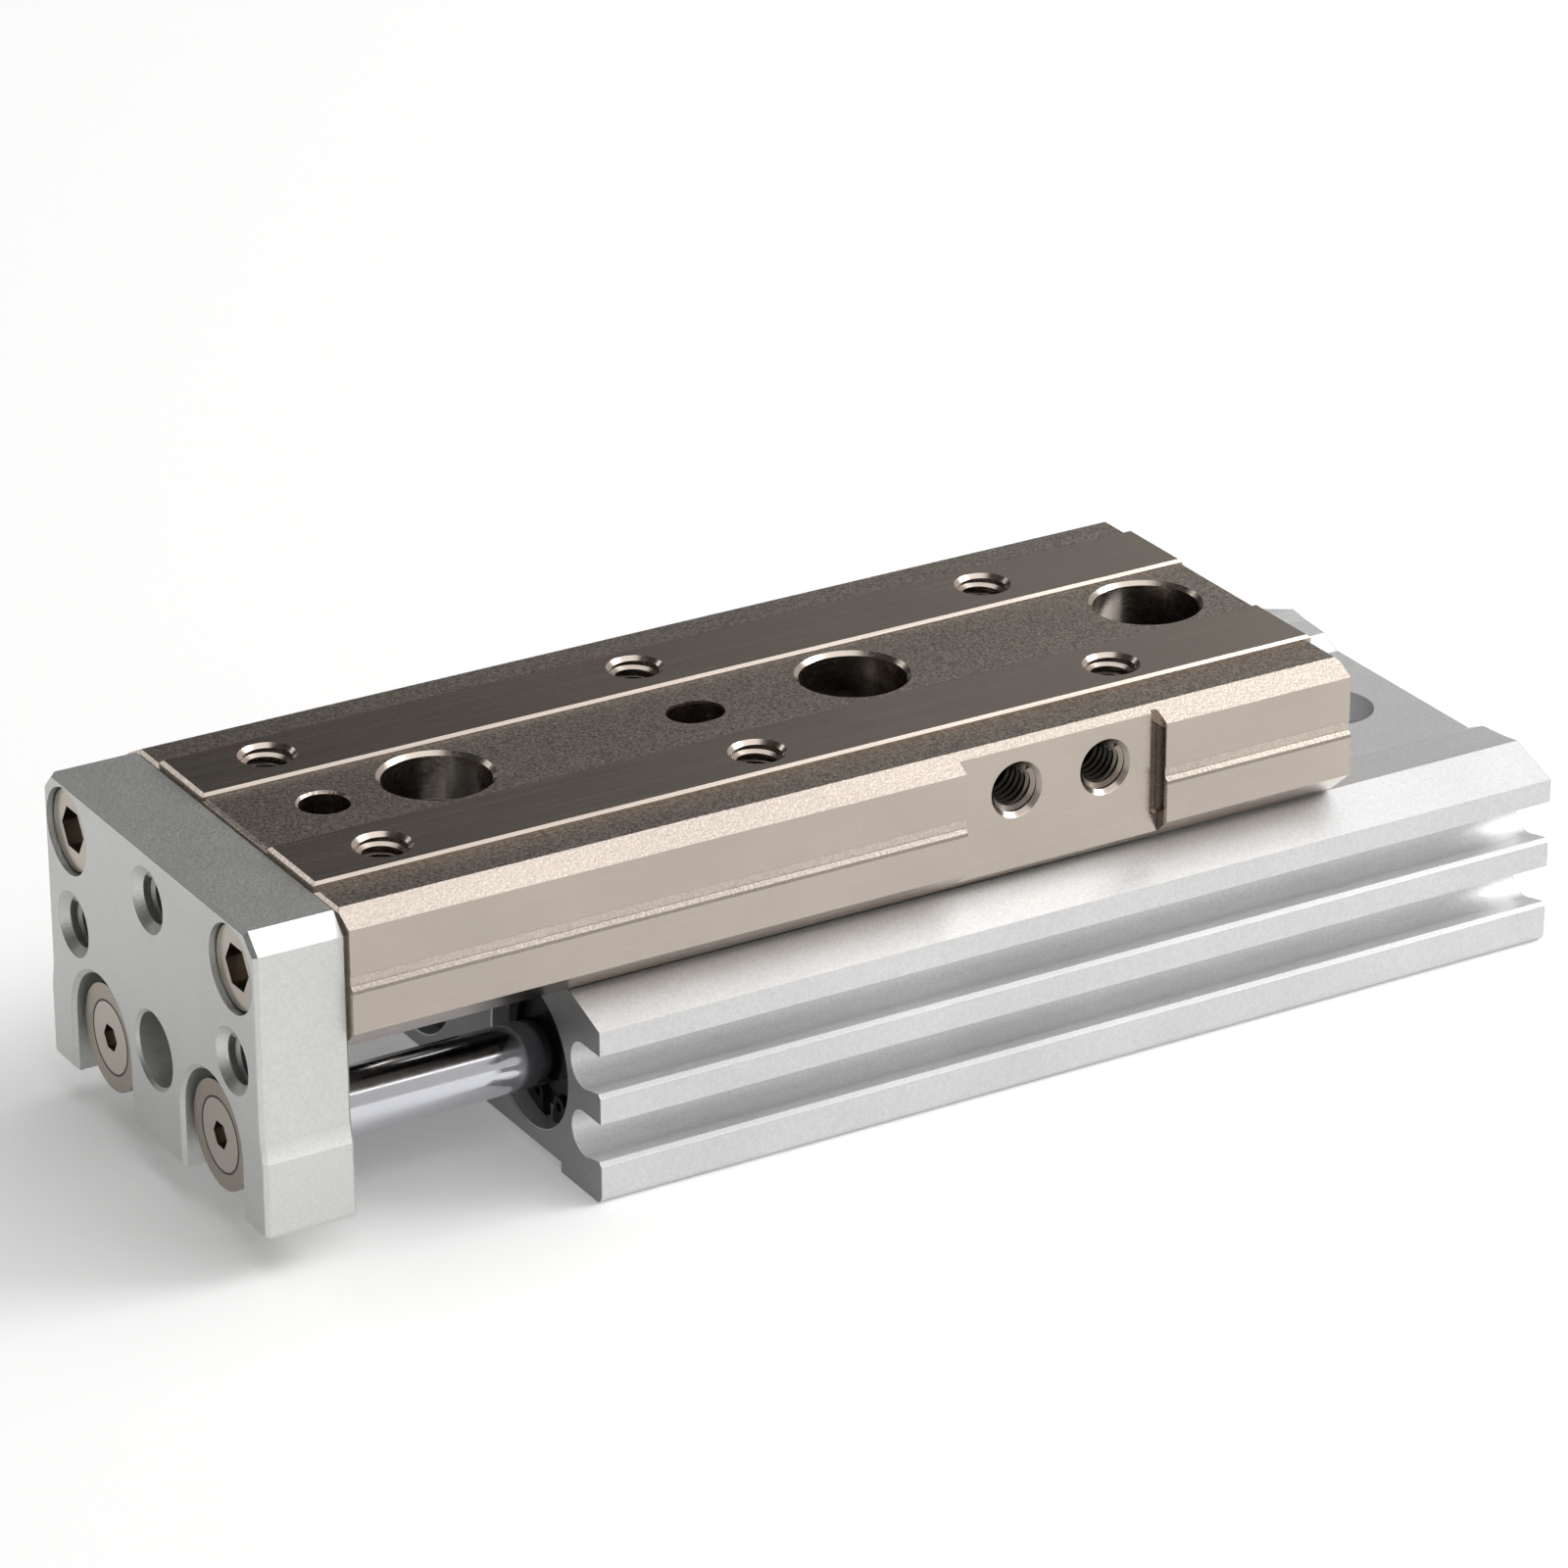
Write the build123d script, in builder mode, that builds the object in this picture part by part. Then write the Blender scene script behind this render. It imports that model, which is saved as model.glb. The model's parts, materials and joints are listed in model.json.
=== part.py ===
from build123d import *
import os

# Pneumatic slide table, drawn part-way out as in the photograph. Millimetres.
# Origin: centre of the body's bottom face. +X runs to the rear, +Z is up, and
# the near side, with the sensor grooves, faces -Y.

# Travel
stroke = 75.0
rest_extension = 28.0
retract_gap = 1.4

# General clearances
running_clearance = 0.05
seat_clearance = 0.05
loose_clearance = 0.3
cutter_overrun = 1.0

# Cylinders
bore_diameter = 16.0
bore_spacing = 28.4
bore_height = 12.2
bore_mouth_step = 1.1
bore_mouth_break = 0.2
rod_diameter = 8.0
rod_socket_depth = 6.0

# Retaining rings
ring_inset = 2.4
ring_thickness = 1.0
ring_groove_depth = 0.4
ring_width = 2.2
ring_opening = 2.4
ring_ear_radius = 1.3
ring_ear_hole = 0.6

# Rod covers, head caps and what they carry
rod_cover_length = 17.0
rod_cover_nose_length = 6.0
cover_nose_diameter = 12.0
head_cap_length = 8.0
head_cap_nose_length = 3.0
rod_bush_length = 6.0
rod_bush_wall = 1.0
rod_seal_length = 3.0
rod_seal_wall = 2.0
o_ring_width = 1.6
o_ring_depth = 1.4
rod_cover_o_ring_inset = 3.6
head_cap_o_ring_inset = 1.6
bumper_thickness = 2.0
bumper_bore = 9.0

# Pistons
piston_length = 22.0
piston_clearance = 0.15
piston_nose_diameter = 12.0
piston_nose_length = 5.0
end_gap = 0.1
piston_seal_width = 2.2
piston_seal_depth = 1.8
wear_ring_width = 3.0
wear_ring_depth = 1.0
magnet_width = 3.0
magnet_depth = 2.4
piston_land = 1.6
piston_screw_diameter = 4.0
piston_screw_head_diameter = 7.0
piston_screw_head_length = 2.6
piston_screw_grip = 10.0

# Body
side_wall = 8.8
foot_width = 9.5
foot_height = 1.3
foot_corner = 1.2
flat_height = 22.3
flat_step_width = 3.0
flat_step_height = 1.4
shoulder_inner_rise = 1.7
shoulder_rise = 2.1
shoulder_inset = 7.0
shoulder_width = 2.7
side_drop = 2.5
sensor_groove_radius = 2.85
sensor_groove_depth = 4.0
sensor_groove_lip = 0.75
sensor_groove_chamfer = 0.45
sensor_groove_heights = (7.4, 16.05)
air_port_drill = 4.2
air_port_depth = 5.0
air_passage_diameter = 2.5
mount_hole_diameter = 6.6
mount_head_diameter = 11.0
mount_head_depth = 6.5
base_pin_diameter = 6.0
base_pin_slot_length = 7.2
base_pin_depth = 5.0
base_pin_first = 46.5
base_pin_spacing = 50.0
rear_port_setback = 1.9

# Ball guide
guide_inset = 2.0
scraper_thickness = 1.0
return_cap_length = 4.5
guide_block_length = 51.0
guide_foot_half_width = 13.6
guide_foot_gap = 0.4
guide_half_width = 14.4
guide_height = 13.7
guide_waist_rise = 2.3
guide_top_chamfer = 1.0
ball_diameter = 4.0
ball_clearance = 0.05
ball_rise = 7.7
balls_per_row = 6
return_row = 9.6
return_hole_clearance = 0.15
guide_screw_diameter = 5.0
guide_screw_head_diameter = 8.5
guide_screw_head_length = 5.0
guide_screw_grip = 7.0
guide_screw_hex = 4.0
guide_screw_hex_depth = 2.5
guide_screw_end_inset = 4.5
guide_screw_middle = 30.0
guide_access_diameter = 11.6
cap_screw_diameter = 2.5
cap_screw_head_diameter = 4.5
cap_screw_head_length = 1.6
cap_screw_grip = 6.0
cap_screw_rise = 10.9
cap_screw_spacing = 13.0

# End plate
plate_thickness = 11.3
plate_bottom_drop = 7.3
plate_top_drop = 1.0
plate_upper_inset = 0.83
plate_lower_inset = 0.6
plate_ledge_rise = 2.4
plate_ledge_height = 4.0
plate_top_chamfer = 2.3
plate_front_break = 0.5
plate_rear_break = 0.35
plate_bottom_round = 1.0
plate_screw_spacing = 42.0
plate_screw_drop = 7.0
plate_screw_diameter = 6.0
plate_screw_head_diameter = 10.0
plate_screw_head_length = 6.0
plate_screw_seat_diameter = 10.6
plate_screw_inset = 0.8
plate_screw_hex = 5.0
plate_screw_hex_depth = 3.0
plate_screw_grip = 12.0
plate_hole_diameter = 9.0
plate_hole_rim = 9.8
plate_hole_rise = 4.8
plate_tap_spacing = 40.8
plate_tap_rise = 12.3
plate_top_tap_drop = 7.2
plate_tap_rim = 8.1
m6_thread = 6.0

# Rod ends, held in the plate's two U slots
slot_width = 15.0
slot_neck_width = 9.4
slot_centre_rise = 0.5
bush_inset = 1.15
bush_flange_diameter = 13.2
bush_flange_thickness = 3.0
bush_neck_diameter = 9.0
rod_screw_diameter = 5.0
rod_screw_head_diameter = 9.0
rod_screw_hex = 3.0
rod_screw_hex_depth = 1.8
rod_screw_grip = 9.0
collar_diameter = 12.0
collar_thickness = 0.9

# Table
table_rear_setback = 0.2
table_gap = 0.6
leg_gap = 0.5
guide_side_gap = 2.8
table_thickness = 6.05
pad_inner = 8.1
pad_outer = 19.4
pad_rise = 0.45
pad_edge_chamfer = 0.35
strip_drop = 0.8
table_chamfer_width = 3.03
table_chamfer_drop = 1.6
table_upper_width = 55.66
table_lower_width = 56.4
table_ledge_drop = 8.05
table_ledge_height = 1.65
table_ledge_step = 0.45
table_ledge_relief = 0.08
leg_bevel_width = 3.6
leg_bevel_height = 3.2
table_end_break = 0.4
table_tap_first = 11.35
table_tap_pitch = 48.8
table_tap_spacing = 28.5
table_tap_rim = 7.0
pin_hole_diameter = 6.0
pin_hole_rim = 6.6
pin_slot_length = 7.2
pin_hole_depth = 5.0
access_hole_diameter = 13.0
access_hole_rim = 14.0
access_first = 25.8
access_second_step = 55.9
access_third_step = 41.7
recess_front = 80.2
recess_length = 27.7
recess_depth = 1.73
recess_tap_front = 8.0
recess_tap_pitch = 12.3
recess_tap_drop = 6.9
recess_tap_depth = 7.5
recess_tap_rim = 7.1
key_groove_width = 1.1
key_groove_depth = 0.45
key_groove_rise = 3.6
key_groove_drop = 0.3

# Along the travel, from the front: every place follows from the sizes above
ring_stack = ring_inset + ring_thickness
chamber_length = stroke + piston_length + 2 * (bumper_thickness + end_gap)
body_length = 2 * ring_stack + rod_cover_length + head_cap_length + chamber_length
body_front = -body_length / 2
body_rear = body_length / 2
plate_rear = body_front - retract_gap - rest_extension
plate_front = plate_rear - plate_thickness
table_length = body_length + retract_gap - table_rear_setback

rod_cover_front = body_front + ring_stack
rod_cover_rear = rod_cover_front + rod_cover_length
rod_nose_front = rod_cover_rear - rod_cover_nose_length
head_cap_rear = body_rear - ring_stack
head_cap_front = head_cap_rear - head_cap_length
head_nose_rear = head_cap_front + head_cap_nose_length
piston_rear = head_cap_front - bumper_thickness - end_gap - rest_extension
piston_front = piston_rear - piston_length
piston_nose_front = piston_rear - piston_nose_length
rod_front = plate_rear + collar_thickness
rod_rear = piston_front + rod_socket_depth

front_port_x = rod_cover_rear - rod_cover_nose_length / 2
rear_port_x = piston_nose_front + rest_extension + rear_port_setback

guide_front = body_front + guide_inset
block_front = guide_front + scraper_thickness + return_cap_length
block_rear = block_front + guide_block_length
guide_rear = block_rear + return_cap_length + scraper_thickness
guide_screw_xs = [
    block_front + guide_screw_end_inset,
    block_front + guide_screw_middle,
    block_rear - guide_screw_end_inset,
]

access_xs = [
    plate_rear + access_first,
    plate_rear + access_first + access_second_step,
    plate_rear + access_first + access_second_step + access_third_step,
]
# With the table run back, its access holes stand over the body's mounting holes
mount_xs = [x + rest_extension for x in access_xs]
base_pin_x = body_front + base_pin_first
table_tap_xs = [plate_rear + table_tap_first + table_tap_pitch * i for i in range(3)]
recess_x = plate_rear + recess_front
recess_tap_xs = [recess_x + recess_tap_front + recess_tap_pitch * i for i in range(2)]

# Upwards: the guide stands on the body's flat, and the table rides over the guide
body_height = flat_height + shoulder_rise
side_height = body_height - side_drop
guide_top = flat_height + guide_height
guide_waist_height = flat_height + guide_waist_rise
ball_height = flat_height + ball_rise
cap_screw_height = flat_height + cap_screw_rise
table_underside = guide_top + table_gap
centre_strip_top = table_underside + table_thickness
pad_top = centre_strip_top + pad_rise
outer_strip_top = pad_top - strip_drop
table_chamfer_bottom = outer_strip_top - table_chamfer_drop
table_ledge_top = pad_top - table_ledge_drop
table_ledge_bottom = table_ledge_top - table_ledge_height
leg_bottom = body_height + leg_gap
leg_bevel_top = leg_bottom + leg_bevel_height
recess_tap_height = pad_top - recess_tap_drop
key_groove_bottom = leg_bottom + key_groove_rise
plate_top = pad_top - plate_top_drop
plate_screw_height = pad_top - plate_screw_drop
plate_top_tap_height = pad_top - plate_top_tap_drop
plate_bottom = bore_height - plate_bottom_drop
plate_ledge_bottom = bore_height + plate_ledge_rise
plate_ledge_top = plate_ledge_bottom + plate_ledge_height
plate_tap_height = bore_height + plate_tap_rise
plate_hole_height = bore_height + plate_hole_rise
slot_centre_height = bore_height + slot_centre_rise

# Across the travel
half_width = (bore_spacing + bore_diameter) / 2 + side_wall
flat_half_width = guide_foot_half_width + guide_foot_gap
shoulder_outer = half_width - shoulder_inset
shoulder_inner = shoulder_outer - shoulder_width
bore_radius = bore_diameter / 2
mouth_radius = bore_radius + bore_mouth_step
groove_radius = mouth_radius + ring_groove_depth
rod_radius = rod_diameter / 2
bore_ys = {"left": -bore_spacing / 2, "right": bore_spacing / 2}
seat_radius = bore_radius - seat_clearance
piston_radius = bore_radius - piston_clearance
ball_radius = ball_diameter / 2
leg_inner = guide_half_width + guide_side_gap
ball_row = (guide_half_width + leg_inner) / 2
return_hole_radius = ball_radius + return_hole_clearance
table_half_width = table_upper_width / 2
leg_half_width = table_lower_width / 2
plate_half_width = table_half_width - plate_upper_inset
plate_foot_half_width = leg_half_width - plate_lower_inset
recess_y = recess_depth - table_half_width


def save(piece, name):
    """Label one finished piece and write it to its own file."""
    piece.part.label = name
    export_step(piece.part, f"parts/{name}.step")


def across(x):
    """A sketch plane square to the travel, with +Y to the right and +Z up."""
    return Plane(origin=(x, 0, 0), x_dir=(0, 1, 0), z_dir=(1, 0, 0))


def front_face(x):
    """A plane that faces the front, for holes that go in along +X."""
    return Plane(origin=(x, 0, 0), x_dir=(0, -1, 0), z_dir=(-1, 0, 0))


def turn(points, y, z=bore_height, mode=Mode.ADD):
    """Turn a half section, given as (x, radius) corners, about the X axis at (y, z)."""
    with BuildSketch(Plane(origin=(0, y, z), x_dir=(1, 0, 0), z_dir=(0, -1, 0))) as section:
        with BuildLine():
            Polyline(*points, close=True)
        make_face()
    revolve(section.sketch, axis=Axis((0, y, z), (1, 0, 0)), mode=mode)


def ring_section(x_start, x_end, inner, outer):
    """Half section of a plain ring."""
    return [(x_start, inner), (x_end, inner), (x_end, outer), (x_start, outer)]


def save_pair(name, section):
    """Write one node that holds the same turned piece in each bore."""
    with BuildPart() as pair:
        for y in bore_ys.values():
            turn(section, y)
    save(pair, name)


def sunk_holes(plane, points, drill, rim, depth):
    """Drilled holes with a 90 degree countersunk rim."""
    with Locations(plane):
        with Locations(*points):
            CounterSinkHole(drill / 2, rim / 2, depth, 90)


def bored(points, diameter, plane, depth):
    """Straight round holes from a plane, depth along the plane's normal."""
    with BuildSketch(plane) as circles:
        with Locations(*points):
            Circle(diameter / 2)
    extrude(circles.sketch, amount=depth, mode=Mode.SUBTRACT)


os.makedirs("parts", exist_ok=True)

# Body: an extruded profile with the bores, ports and mounting holes machined into it
with BuildPart() as body:
    with BuildSketch(across(body_front)) as body_profile:
        with BuildLine():
            Polyline(
                (0, foot_height),
                (half_width - foot_width, foot_height),
                (half_width - foot_width, 0),
                (half_width, 0),
                (half_width, side_height),
                (shoulder_outer, body_height),
                (shoulder_inner, flat_height + shoulder_inner_rise),
                (flat_half_width + flat_step_width, flat_height + flat_step_height),
                (flat_half_width, flat_height),
                (0, flat_height),
                close=True,
            )
        make_face()
        fillet(body_profile.vertices().group_by(Axis.Y)[0].sort_by(Axis.X)[-1], foot_corner)
        mirror(about=Plane.YZ)
        for z in sensor_groove_heights:
            centre = sensor_groove_depth - half_width
            floor = z - sensor_groove_radius
            ceiling = z + sensor_groove_radius
            lip = floor + sensor_groove_lip
            with Locations((centre, z)):
                Circle(sensor_groove_radius, mode=Mode.SUBTRACT)
            with BuildLine():
                Polyline(
                    (centre, floor),
                    (sensor_groove_chamfer - half_width, lip),
                    (-half_width, lip - sensor_groove_chamfer),
                    (-half_width, ceiling),
                    (centre, ceiling),
                    close=True,
                )
            make_face(mode=Mode.SUBTRACT)
    extrude(amount=body_length)
    for y in bore_ys.values():
        turn(
            [
                (body_front, 0),
                (body_front, mouth_radius + bore_mouth_break),
                (body_front + bore_mouth_break, mouth_radius),
                (body_front + ring_inset, mouth_radius),
                (body_front + ring_inset, groove_radius),
                (rod_cover_front, groove_radius),
                (rod_cover_front, bore_radius),
                (head_cap_rear, bore_radius),
                (head_cap_rear, groove_radius),
                (body_rear - ring_inset, groove_radius),
                (body_rear - ring_inset, mouth_radius),
                (body_rear - bore_mouth_break, mouth_radius),
                (body_rear, mouth_radius + bore_mouth_break),
                (body_rear, 0),
            ],
            y,
            mode=Mode.SUBTRACT,
        )
    # Air ports on the far side, each with one drilled passage that feeds both bores
    ports = [(front_port_x, 0), (rear_port_x, 0)]
    port_plane = Plane(origin=(0, half_width, bore_height), x_dir=(1, 0, 0), z_dir=(0, 1, 0))
    bored(ports, air_port_drill, port_plane, -air_port_depth)
    bored(ports, air_passage_diameter, port_plane, bore_ys["left"] - half_width)
    # Mounting screws go down through the web between the bores
    mounts = [(x, 0) for x in mount_xs]
    bored(mounts, mount_head_diameter, Plane.XY.offset(flat_height), -mount_head_depth)
    bored(mounts, mount_hole_diameter, Plane.XY.offset(flat_height), -flat_height)
    bored(
        [(x, 0) for x in guide_screw_xs],
        guide_screw_diameter + 2 * seat_clearance,
        Plane.XY.offset(flat_height),
        -guide_screw_grip - loose_clearance,
    )
    # Locating holes in the base: a round one, and a short slot behind it
    with BuildSketch(Plane.XY.offset(foot_height)):
        with Locations((base_pin_x, 0)):
            Circle(base_pin_diameter / 2)
        with Locations((base_pin_x + base_pin_spacing, 0)):
            SlotOverall(base_pin_slot_length, base_pin_diameter)
    extrude(amount=base_pin_depth, mode=Mode.SUBTRACT)
save(body, "body")


def guide_outline(bottom, ear_width):
    """Half outline of the guide, with an optional ear that reaches over the balls."""
    waist_bottom = guide_waist_height - guide_half_width + guide_foot_half_width
    reach = ear_width - guide_half_width
    ear = [
        (ear_width, ball_height - return_hole_radius),
        (ear_width, ball_height + return_hole_radius),
        (guide_half_width, ball_height + return_hole_radius + reach),
    ]
    return [
        (0, bottom),
        (guide_foot_half_width, bottom),
        (guide_foot_half_width, waist_bottom),
        (guide_half_width, guide_waist_height),
        *([(guide_half_width, ball_height - return_hole_radius - reach), *ear] if reach > 0 else []),
        (guide_half_width, guide_top - guide_top_chamfer),
        (guide_half_width - guide_top_chamfer, guide_top),
        (0, guide_top),
    ]


# Guide block: the steel carriage that the table's legs straddle
with BuildPart() as guide_block:
    with BuildSketch(across(block_front)):
        with BuildLine():
            Polyline(*guide_outline(flat_height, guide_half_width), close=True)
        make_face()
        with Locations((ball_row, ball_height)):
            Circle(ball_radius + ball_clearance, mode=Mode.SUBTRACT)
        with Locations((return_row, ball_height)):
            Circle(return_hole_radius, mode=Mode.SUBTRACT)
        mirror(about=Plane.YZ)
    extrude(amount=guide_block_length)
    top_plane = Plane.XY.offset(guide_top)
    screw_points = [(x, 0) for x in guide_screw_xs]
    head_bore = guide_screw_head_diameter + loose_clearance
    bored(screw_points, head_bore, top_plane, -guide_screw_head_length - loose_clearance)
    bored(screw_points, guide_screw_diameter + loose_clearance, top_plane, flat_height - guide_top)
    bored([(mount_xs[0], 0)], guide_access_diameter, top_plane, flat_height - guide_top)
    cap_points = [(-cap_screw_spacing / 2, cap_screw_height), (cap_screw_spacing / 2, cap_screw_height)]
    for x, way in ((block_front, 1), (block_rear, -1)):
        cap_hole_depth = way * (cap_screw_grip + loose_clearance)
        bored(cap_points, cap_screw_diameter + 2 * seat_clearance, across(x), cap_hole_depth)
save(guide_block, "guide_block")


def return_cap(seat_x, way, name):
    """Moulded cap that turns the balls round; way is +1 at the front end of the block."""
    outer_x = seat_x - way * return_cap_length
    with BuildPart() as cap:
        with BuildSketch(across(outer_x)):
            with BuildLine():
                outline = guide_outline(flat_height + loose_clearance, leg_inner - loose_clearance)
                Polyline(*outline, close=True)
            make_face()
            mirror(about=Plane.YZ)
        extrude(amount=way * return_cap_length)
        for side in (-1, 1):
            with BuildSketch(across(seat_x)):
                with Locations((side * (ball_row + return_row) / 2, ball_height)):
                    SlotCenterToCenter(ball_row - return_row, 2 * return_hole_radius)
            extrude(amount=-way * return_hole_radius, mode=Mode.SUBTRACT)
        head_bore = cap_screw_head_diameter + 2 * seat_clearance
        bored(cap_points, head_bore, across(outer_x), way * cap_screw_head_length)
        shank_bore = cap_screw_diameter + 2 * seat_clearance
        bored(cap_points, shank_bore, across(outer_x), way * return_cap_length)
    save(cap, name)


return_cap(block_front, 1, "return_cap_front")
return_cap(block_rear, -1, "return_cap_rear")

with BuildPart() as return_cap_screws:
    for seat_x, way in ((block_front, 1), (block_rear, -1)):
        head_x = seat_x - way * return_cap_length
        under_head_x = head_x + way * cap_screw_head_length
        tip_x = seat_x + way * cap_screw_grip
        for y, z in cap_points:
            turn(
                [
                    (head_x, 0),
                    (head_x, cap_screw_head_diameter / 2),
                    (under_head_x, cap_screw_head_diameter / 2),
                    (under_head_x, cap_screw_diameter / 2),
                    (tip_x, cap_screw_diameter / 2),
                    (tip_x, 0),
                ],
                y,
                z,
            )
save(return_cap_screws, "return_cap_screws")

# Scrapers: thin wipers on both ends of the guide, just clear of the table
scraper_bottom = guide_waist_height
scraper_top = table_underside - loose_clearance
for name, x in (("scraper_front", guide_front), ("scraper_rear", guide_rear - scraper_thickness)):
    with BuildPart() as scraper:
        with BuildSketch(across(x)):
            with Locations((0, (scraper_bottom + scraper_top) / 2)):
                Rectangle(2 * (leg_inner - loose_clearance), scraper_top - scraper_bottom)
        extrude(amount=scraper_thickness)
        chamfer(scraper.edges().filter_by(Axis.X), guide_top_chamfer)
    save(scraper, name)

with BuildPart() as guide_block_screws:
    head_seat = guide_top - guide_screw_head_length - loose_clearance
    for x in guide_screw_xs:
        with BuildSketch(Plane.XY.offset(head_seat)):
            with Locations((x, 0)):
                Circle(guide_screw_head_diameter / 2)
                RegularPolygon(guide_screw_hex / 2, 6, major_radius=False, mode=Mode.SUBTRACT)
        extrude(amount=guide_screw_head_length)
        with BuildSketch(Plane.XY.offset(head_seat)):
            with Locations((x, 0)):
                Circle(guide_screw_head_diameter / 2)
        extrude(amount=guide_screw_head_length - guide_screw_hex_depth)
        with BuildSketch(Plane.XY.offset(head_seat)):
            with Locations((x, 0)):
                Circle(guide_screw_diameter / 2)
        extrude(amount=flat_height - guide_screw_grip - head_seat)
save(guide_block_screws, "guide_block_screws")

ball_pitch = (guide_block_length - ball_diameter) / (balls_per_row - 1)
for name, side in (("guide_balls_left", -1), ("guide_balls_right", 1)):
    with BuildPart() as balls:
        for i in range(balls_per_row):
            with Locations((block_front + ball_radius + ball_pitch * i, side * ball_row, ball_height)):
                Sphere(ball_radius)
    save(balls, name)

# Rod covers: each closes the front of a bore, with the rod seal at its mouth and the
# bush in its nose
o_groove_width = o_ring_width + 2 * seat_clearance
o_groove_radius = bore_radius - o_ring_depth
bush_outer = rod_radius + running_clearance + rod_bush_wall
seal_outer = rod_radius + running_clearance + rod_seal_wall
rod_hole_radius = rod_radius + loose_clearance
cover_nose_radius = cover_nose_diameter / 2
cover_groove_x = rod_cover_front + rod_cover_o_ring_inset
for side, y in bore_ys.items():
    with BuildPart() as rod_cover:
        turn(
            [
                (rod_cover_front, seal_outer + seat_clearance),
                (rod_cover_front, seat_radius),
                (cover_groove_x, seat_radius),
                (cover_groove_x, o_groove_radius),
                (cover_groove_x + o_groove_width, o_groove_radius),
                (cover_groove_x + o_groove_width, seat_radius),
                (rod_nose_front, seat_radius),
                (rod_nose_front, cover_nose_radius),
                (rod_cover_rear, cover_nose_radius),
                (rod_cover_rear, bush_outer + seat_clearance),
                (rod_cover_rear - rod_bush_length, bush_outer + seat_clearance),
                (rod_cover_rear - rod_bush_length, rod_hole_radius),
                (rod_cover_front + rod_seal_length, rod_hole_radius),
                (rod_cover_front + rod_seal_length, seal_outer + seat_clearance),
            ],
            y,
        )
    save(rod_cover, f"rod_cover_{side}")

running_radius = rod_radius + running_clearance
bush_front = rod_cover_rear - rod_bush_length
save_pair("rod_bushes", ring_section(bush_front, rod_cover_rear, running_radius, bush_outer))
seal_rear = rod_cover_front + rod_seal_length
save_pair("rod_seals", ring_section(rod_cover_front, seal_rear, running_radius, seal_outer))
cover_ring_x = cover_groove_x + seat_clearance
ring_radii = (o_groove_radius + seat_clearance, seat_radius)
save_pair("rod_cover_o_rings", ring_section(cover_ring_x, cover_ring_x + o_ring_width, *ring_radii))
bumper_rear = rod_cover_rear + bumper_thickness
save_pair(
    "front_bumpers", ring_section(rod_cover_rear, bumper_rear, bumper_bore / 2, cover_nose_radius)
)

# Head caps close the rear of the bores
cap_groove_rear = head_cap_rear - head_cap_o_ring_inset
cap_groove_front = cap_groove_rear - o_groove_width
for side, y in bore_ys.items():
    with BuildPart() as head_cap:
        turn(
            [
                (head_cap_front, 0),
                (head_cap_front, cover_nose_radius),
                (head_nose_rear, cover_nose_radius),
                (head_nose_rear, seat_radius),
                (cap_groove_front, seat_radius),
                (cap_groove_front, o_groove_radius),
                (cap_groove_rear, o_groove_radius),
                (cap_groove_rear, seat_radius),
                (head_cap_rear, seat_radius),
                (head_cap_rear, 0),
            ],
            y,
        )
    save(head_cap, f"head_cap_{side}")

cap_ring_x = cap_groove_front + seat_clearance
save_pair("head_cap_o_rings", ring_section(cap_ring_x, cap_ring_x + o_ring_width, *ring_radii))
rear_bumper_front = head_cap_front - bumper_thickness
save_pair(
    "rear_bumpers", ring_section(rear_bumper_front, head_cap_front, bumper_bore / 2, cover_nose_radius)
)


def retaining_rings(x, name):
    """Sprung rings with plier ears, in the grooves of both bores."""
    outer = groove_radius - seat_clearance
    inner = outer - ring_width
    ear_y = ring_opening / 2 + ring_ear_radius
    ear_z = ring_ear_radius / 2 - inner
    with BuildPart() as rings:
        with BuildSketch(across(x)):
            for y in bore_ys.values():
                with Locations((y, bore_height)):
                    Circle(outer)
                    Circle(inner, mode=Mode.SUBTRACT)
                with Locations((y, bore_height - outer)):
                    Rectangle(ring_opening, 2 * ring_width + ring_ear_radius, mode=Mode.SUBTRACT)
                with Locations((y - ear_y, bore_height + ear_z), (y + ear_y, bore_height + ear_z)):
                    Circle(ring_ear_radius)
                    Circle(ring_ear_hole, mode=Mode.SUBTRACT)
        extrude(amount=ring_thickness)
    save(rings, name)


retaining_rings(body_front + ring_inset, "front_retaining_rings")
retaining_rings(body_rear - ring_stack, "rear_retaining_rings")

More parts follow.
